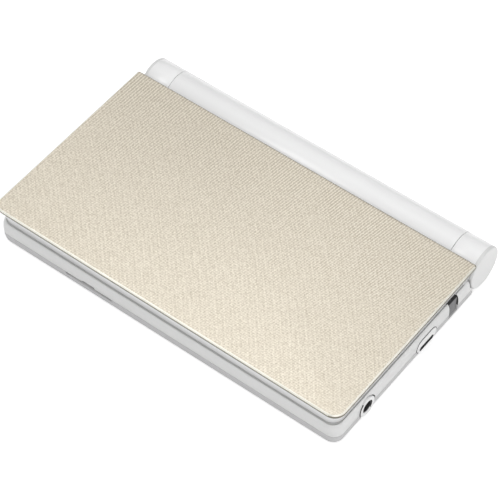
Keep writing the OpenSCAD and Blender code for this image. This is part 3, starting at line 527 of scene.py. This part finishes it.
def in_groove(mesh, face):
    """Whether a face is the floor or a wall of the groove in the rim."""
    corners = [mesh.vertices[v].co for v in face.vertices]
    return (min(p.z for p in corners) < GROOVE_LOW + 1e-5
            and all(outside_by(p, *GROOVE_OUT) < 2e-5 and outside_by(p, *GROOVE_IN) > -2e-5
                    and p.z > GROOVE_LOW - 1e-5 for p in corners))


upper = merged_copy("upper_case", "upper_case_moulding")
ring_cutter = groove_block("groove_cutter", *GROOVE_OUT, 0)
cut_away(ring_cutter, groove_block("groove_core", *GROOVE_IN, 0.001))
cut_away(upper, ring_cutter)
# recess walls get painted shade, the groove's floor and walls a lighter painted shade
for face in upper.data.polygons:
    dark = recess_wall(upper.data, face)
    face.material_index = 1 if dark else 2 if in_groove(upper.data, face) else 0
soften(upper, 0.00008)
finish_piece(upper, "upper_case", "base", "case_upper", [satin_white, recess_shade, groove_shade])

# heights above the case's underside, and how far the rounded lower edge moves out and down
SKIRT_TOP, SKIRT_INSET, SKIRT_REACH = 0.0019, 0.002, 0.0056
SKIRT_STEPS = ((0, 0.0007, 0), (0.00025, 0.0007, 0), (0.0008, 0.00035, 0.0005),
               (SKIRT_TOP, 0.00005, 0))


def skirt_shift(height):
    for (h0, out0, drop0), (h1, out1, drop1) in zip(SKIRT_STEPS, SKIRT_STEPS[1:]):
        if height <= h1 + 1e-6:
            share = (height - h0) / (h1 - h0)
            return out0 + share * (out1 - out0), drop0 + share * (drop1 - drop0)
    return 0, 0


lower = merged_copy("lower_case", "lower_case_moulding")
for corner in lower.data.vertices:
    x, y, z = corner.co
    height = z - BASE_Z
    outside = max(abs(x) - SIDE_X, BASE_FRONT - y) > -SKIRT_INSET
    if not outside or height > SKIRT_TOP + 1e-6 or height < -1e-6:
        continue
    out, drop = skirt_shift(max(0, height))
    if abs(x) > SIDE_X - SKIRT_REACH:
        corner.co.x += math.copysign(out, x)
    if y < BASE_FRONT + SKIRT_REACH:
        corner.co.y -= out
    corner.co.z -= drop
lower.data.update()
# recess walls get painted shade
for face in lower.data.polygons:
    face.material_index = 1 if recess_wall(lower.data, face) else 0
soften(lower, 0.00006)
finish_piece(lower, "lower_case", "base", "case_lower", [matt_grey_and_shade, recess_shade])

# ------------------------------------------------------------------ sockets on the right side
# The headphone socket's black nose shows in a white collar. A white plug with a nail slot
# covers the other socket. Both sit in the side wall. Their walls where they face the front,
# the collar's flange inside the hole and the plug's slot and sunken sides are painted dark,
# as painted shade for the gap round them.

black_plastic = plastic("black_plastic", (0.015, 0.015, 0.016), 0.5, 2500, 0.1)
# painted shade for the plug's walls and for the top of the stylus head
shade_charcoal = plastic("shade_charcoal", (0.03, 0.03, 0.032), 0.5, 2500, 0.2)
WALL_SHADE = -0.6
FLANGE_DEPTH, PLUG_DEPTH = 0.0012, 0.0004
SLOT_HALF_LENGTH, SLOT_HALF_HEIGHT = 0.0035, 0.0008
collar = merged_copy("jack_collar", "jack_collar_ring")
for face in collar.data.polygons:
    # the flange and the front-facing walls get painted shade
    flange = face.center.x < SIDE_X - FLANGE_DEPTH
    wall = abs(face.normal.x) < 0.5 and face.normal.y < WALL_SHADE
    face.material_index = 1 if flange or wall else 0
soften(collar, 0.00008)
finish_piece(collar, "jack_collar", "base", "white_shell", [pearl_white, recess_shade])

plug = merged_copy("usb_cover", "socket_cover_plug")
for face in plug.data.polygons:
    # the sunken sides, the slot and the front-facing walls get painted shade
    deep = face.center.x < SIDE_X - PLUG_DEPTH
    in_slot = (abs(face.center.y - SOCKET_Y) < SLOT_HALF_LENGTH
               and abs(face.center.z - SOCKET_Z) < SLOT_HALF_HEIGHT)
    wall = abs(face.normal.x) < 0.5 and (deep or in_slot or face.normal.y < WALL_SHADE)
    face.material_index = 1 if wall else 0
soften(plug, 0.00012)
finish_piece(plug, "usb_cover", "usb_cover", "white_shell", [pearl_white, shade_charcoal])
finished_copy("headphone_jack", "jack_body", black_plastic, "base", "black_plastic", 0.0001)

NOSE_OUT, NOSE_BORE = 0.00226, 0.0018
NOSE_FROM, NOSE_TO = 0.0636, 0.0657
bpy.ops.object.select_all(action="DESELECT")
bpy.ops.mesh.primitive_cylinder_add(vertices=48, radius=NOSE_OUT, depth=NOSE_TO - NOSE_FROM)
nose = bpy.context.object
nose.name = "jack_nose"
bpy.ops.object.mode_set(mode="EDIT")
bpy.ops.mesh.select_mode(type="FACE")
bpy.ops.mesh.select_all(action="DESELECT")
pick(nose, lambda f: abs(f.normal.z) > 0.9, "faces")
bpy.ops.mesh.inset(thickness=NOSE_OUT - NOSE_BORE)
bpy.ops.mesh.bridge_edge_loops()
bpy.ops.mesh.select_all(action="SELECT")
bpy.ops.transform.rotate(value=math.radians(90), orient_axis="Y", center_override=(0, 0, 0))
bpy.ops.transform.translate(value=((NOSE_FROM + NOSE_TO) / 2, JACK_Y, JACK_Z))
bpy.ops.mesh.normals_make_consistent(inside=False)
bpy.ops.object.mode_set(mode="OBJECT")
soften(nose, 0.0001, 40)
finish_piece(nose, "headphone_jack", "base", "black_plastic", [black_plastic])

# ------------------------------------------------------------------ card socket
# A shell of steel sheet behind the slot in the front wall takes the memory card. The covered
# socket on the right side has a steel shell too, behind its plug.


def metal(name, dark, light, roughness, scale, share):
    """Plated or rolled steel: streaks in its colour and a roughness that wanders."""
    material, shader, add = new_material(name)
    place = add("ShaderNodeTexCoord").outputs["Object"]
    streak = add("ShaderNodeTexNoise", {"Vector": place, "Scale": scale,
                                        "Detail": 3}).outputs["Fac"]
    links = material.node_tree.links
    links.new(blend_colours(add, streak, (*dark, 1), (*light, 1)), shader.inputs["Base Color"])
    links.new(maths(add, "MULTIPLY_ADD", streak, 0.2, roughness - 0.1),
              shader.inputs["Roughness"])
    bump = add("ShaderNodeBump", {"Height": streak, "Strength": 0.1, "Distance": 0.00002})
    links.new(bump.outputs[0], shader.inputs["Normal"])
    shader.inputs["Metallic"].default_value = share
    return material


bright_steel = metal("bright_steel", (0.42, 0.42, 0.43), (0.66, 0.66, 0.67), 0.3, 700, 1.0)
finished_copy("card_socket", "card_socket_shell", bright_steel, "base", "bright_steel", 0.00006)
finished_copy("usb_socket", "usb_socket_shell", bright_steel, "base", "bright_steel", 0.00006)

# ------------------------------------------------------------------ stylus
# A grey plastic pen that lies in a channel along the back of the case. Only its flat head
# shows in the side wall; its top is painted dark as shade for the shadow under the lid's edge.

grey_plastic = plastic("grey_plastic", (0.20, 0.20, 0.205), 0.5, 1800, 0.25)
head_piece = merged_copy("stylus_head", "stylus_head_grip")
for face in head_piece.data.polygons:
    # upward faces get painted shade
    face.material_index = 1 if face.normal.z > 0.5 else 0
soften(head_piece, 0.00025)
finish_piece(head_piece, "stylus_head", "stylus", "grey_plastic",
             [grey_plastic, shade_charcoal])
finished_copy("stylus_barrel", "stylus_shaft", grey_plastic, "stylus", "grey_plastic", 0.0001)
finished_copy("stylus_tip", "stylus_point", black_plastic, "stylus", "black_plastic", 0.0001)

# ------------------------------------------------------------------ keys
# Each row is one set of rubber backed keycaps that stand through the deck. The rows for
# letters are white; the top row and the keys round the cursor ring are silver grey.

white_key = plastic("white_keycap", (0.78, 0.78, 0.775), 0.38, 1800, 0.12)
silver_key = metal("silver_keycap", (0.50, 0.50, 0.51), (0.60, 0.60, 0.60), 0.4, 1500, 0.35)
KEY_EDGE = 0.0003
for node, name, material, slot in (
        ("key_row_1", "function_keys", silver_key, "silver_key"),
        ("key_row_2", "letter_keys_top", white_key, "white_key"),
        ("key_row_3", "letter_keys_middle", white_key, "white_key"),
        ("key_row_4", "letter_keys_low", white_key, "white_key"),
        ("key_row_5", "space_row_keys", white_key, "white_key"),
        ("volume_keys", "volume_key_pair", silver_key, "silver_key"),
        ("corner_keys", "keys_round_the_ring", silver_key, "silver_key"),
        ("cursor_ring", "cursor_ring_key", silver_key, "silver_key"),
        ("enter_key", "enter_button", white_key, "white_key")):
    finished_copy(node, name, material, node, slot, KEY_EDGE)

key_rubber = plastic("key_rubber", (0.48, 0.48, 0.47), 0.7, 1200, 0.2)
finished_copy("key_membrane", "rubber_key_sheet", key_rubber, "base", "key_rubber", 0.0001)

# ------------------------------------------------------------------ handwriting pad
# A clear hard window in the deck covers a small grey liquid crystal panel. The panel lies on
# a black moulded frame.


def clear(name, tint, roughness):
    """Clear acrylic with faint handling marks on its surface."""
    material, shader, add = new_material(name)
    place = add("ShaderNodeTexCoord").outputs["Object"]
    marks = add("ShaderNodeTexNoise", {"Vector": place, "Scale": 240, "Detail": 4}).outputs["Fac"]
    links = material.node_tree.links
    paler = tuple(min(1, c * 1.03) for c in tint) + (1,)
    links.new(blend_colours(add, marks, (*tint, 1), paler), shader.inputs["Base Color"])
    links.new(maths(add, "MULTIPLY_ADD", marks, 0.08, roughness), shader.inputs["Roughness"])
    shader.inputs["Transmission Weight"].default_value = 1
    shader.inputs["IOR"].default_value = 1.49
    return material


def screen(name, colour, line_colour, pitch):
    """A liquid crystal panel: rows and columns of dots too fine to count."""
    material, shader, add = new_material(name)
    across = wave(add, (pitch, 0), "columns")
    along = wave(add, (0, pitch), "rows")
    grid = maths(add, "MULTIPLY_ADD", maths(add, "MAXIMUM", across, along), 0.5, 0.5)
    links = material.node_tree.links
    links.new(blend_colours(add, grid, (*colour, 1), (*line_colour, 1)),
              shader.inputs["Base Color"])
    links.new(maths(add, "MULTIPLY_ADD", grid, 0.05, 0.12), shader.inputs["Roughness"])
    shader.inputs["Coat Weight"].default_value = 0.5
    return material


pad_clear = clear("pad_acrylic", (0.93, 0.94, 0.94), 0.10)
pad_grey = screen("pad_liquid_crystal", (0.34, 0.37, 0.35), (0.40, 0.43, 0.41), 4000)
finished_copy("pad_window", "pad_cover", pad_clear, "base", "clear_window", 0.00015)
finished_copy("pad_panel", "pad_screen", pad_grey, "base", "display_glass", 0.0001)
finished_copy("pad_frame", "pad_holder", black_plastic, "base", "black_plastic", 0.0001)

# ------------------------------------------------------------------ speaker
# A small round speaker in a black basket, under the rings of holes in the deck. Its paper
# cone faces the holes.

paper_cone = plastic("paper_cone", (0.05, 0.05, 0.052), 0.8, 3500, 0.4)
finished_copy("speaker", "speaker_unit", paper_cone, "base", "black_plastic", 0.0001)

# ------------------------------------------------------------------ display
# A clear window in the lid's white bezel, over the liquid crystal panel, its backlight and
# the driver board. Four rubber bumpers and four screws sit in the bezel.

window_clear = clear("window_acrylic", (0.97, 0.98, 0.98), 0.03)
display_grey = screen("display_liquid_crystal", (0.20, 0.22, 0.21), (0.25, 0.27, 0.26), 5000)
diffuser = plastic("backlight_diffuser", (0.86, 0.86, 0.85), 0.5, 900, 0.05)
dull_rubber = plastic("dull_rubber", (0.12, 0.12, 0.12), 0.8, 2200, 0.5)
finished_copy("lid_bezel", "display_bezel", satin_white, "lid", "case_upper", 0.00015)
finished_copy("display_window", "display_cover", window_clear, "lid", "clear_window", 0.00015)
finished_copy("lcd_panel", "display_screen", display_grey, "lid", "display_glass", 0.0001)
finished_copy("backlight", "backlight_plate", diffuser, "lid", "backlight_white", 0.0001)
finished_copy("lid_bumpers", "bezel_bumpers", dull_rubber, "lid", "soft_rubber", 0.00015)

# ------------------------------------------------------------------ circuit boards
# Green glass fibre boards under solder mask, with faint copper tracks. The larger one lies in
# the base under the keys, the smaller one is behind the display in the lid.


def board(name, green, copper):
    """Solder mask over copper tracks that follow the edges of large cells."""
    material, shader, add = new_material(name)
    place = add("ShaderNodeTexCoord").outputs["Object"]
    cells = add("ShaderNodeTexVoronoi", {"Vector": place, "Scale": 320},
                feature="DISTANCE_TO_EDGE").outputs["Distance"]
    track = maths(add, "LESS_THAN", cells, 0.06)
    cloud = add("ShaderNodeTexNoise", {"Vector": place, "Scale": 500}).outputs["Fac"]
    links = material.node_tree.links
    links.new(blend_colours(add, track, (*green, 1), (*copper, 1)), shader.inputs["Base Color"])
    links.new(maths(add, "MULTIPLY_ADD", cloud, 0.15, 0.3), shader.inputs["Roughness"])
    bump = add("ShaderNodeBump", {"Height": track, "Strength": 0.3, "Distance": 0.00003})
    links.new(bump.outputs[0], shader.inputs["Normal"])
    return material


solder_mask = board("green_solder_mask", (0.02, 0.16, 0.07), (0.05, 0.24, 0.10))
finished_copy("main_board", "logic_board", solder_mask, "base", "circuit_board", 0)
finished_copy("display_board", "driver_board", solder_mask, "lid", "circuit_board", 0)

# ------------------------------------------------------------------ hinge
# A steel shaft from a click hinge turns the right knuckle. On the left a hollow plastic
# bush carries the rolled amber film cable to the display.

amber_film = plastic("amber_film", (0.55, 0.25, 0.05), 0.25, 800, 0.05)
finished_copy("hinge_shaft", "hinge_pin", bright_steel, "lid", "bright_steel", 0.0001)
finished_copy("click_hinge_case", "click_hinge_body", bright_steel, "base", "bright_steel",
              0.0001)
finished_copy("cable_bush", "hollow_bush", grey_plastic, "lid", "grey_plastic", 0.0001)
finished_copy("display_cable", "display_film_cable", amber_film, "lid", "amber_film", 0)

# ------------------------------------------------------------------ cells and contacts
# Two small round cells in plain jackets lie end to end behind the cover, between a wound
# steel spring and flat contact plates.

cell_jacket = metal("cell_jacket", (0.20, 0.28, 0.38), (0.26, 0.36, 0.48), 0.35, 200, 0.4)
finished_copy("battery_1", "left_cell", cell_jacket, "base", "cell_jacket", 0.0002)
finished_copy("battery_2", "right_cell", cell_jacket, "base", "cell_jacket", 0.0002)
finished_copy("battery_spring", "contact_spring", bright_steel, "base", "bright_steel", 0)
finished_copy("battery_contacts", "contact_plates", bright_steel, "base", "bright_steel",
              0.00005)

# ------------------------------------------------------------------ screws and feet
# Small steel screws with cross slots hold the case and the bezel. Four dull rubber feet are
# glued into the floor.

CROSS_LENGTH, CROSS_WIDTH, CROSS_DEPTH = 0.0017, 0.00035, 0.0004


def crossed_screws(node, name, body, head_level):
    """Copies the screws of a node and cuts a cross slot into every head."""
    screws = merged_copy(node, name)
    tops = [face.center.copy() for face in screws.data.polygons
            if abs(face.center.z - head_level) < 1e-5 and abs(face.normal.z) > 0.9]
    for centre in tops:
        for length, width in ((CROSS_LENGTH, CROSS_WIDTH), (CROSS_WIDTH, CROSS_LENGTH)):
            half = Vector((length / 2, width / 2, CROSS_DEPTH))
            cut_away(screws, block("slot_cutter", centre - half, centre + half))
    finish_piece(screws, node, body, "bright_steel", [bright_steel])


crossed_screws("case_screws", "case_cross_screws", "base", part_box("case_screws")[0].z)
crossed_screws("lid_screws", "bezel_cross_screws", "lid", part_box("lid_screws")[0].z)
finished_copy("rubber_feet", "glued_feet", dull_rubber, "base", "soft_rubber", 0.0002)
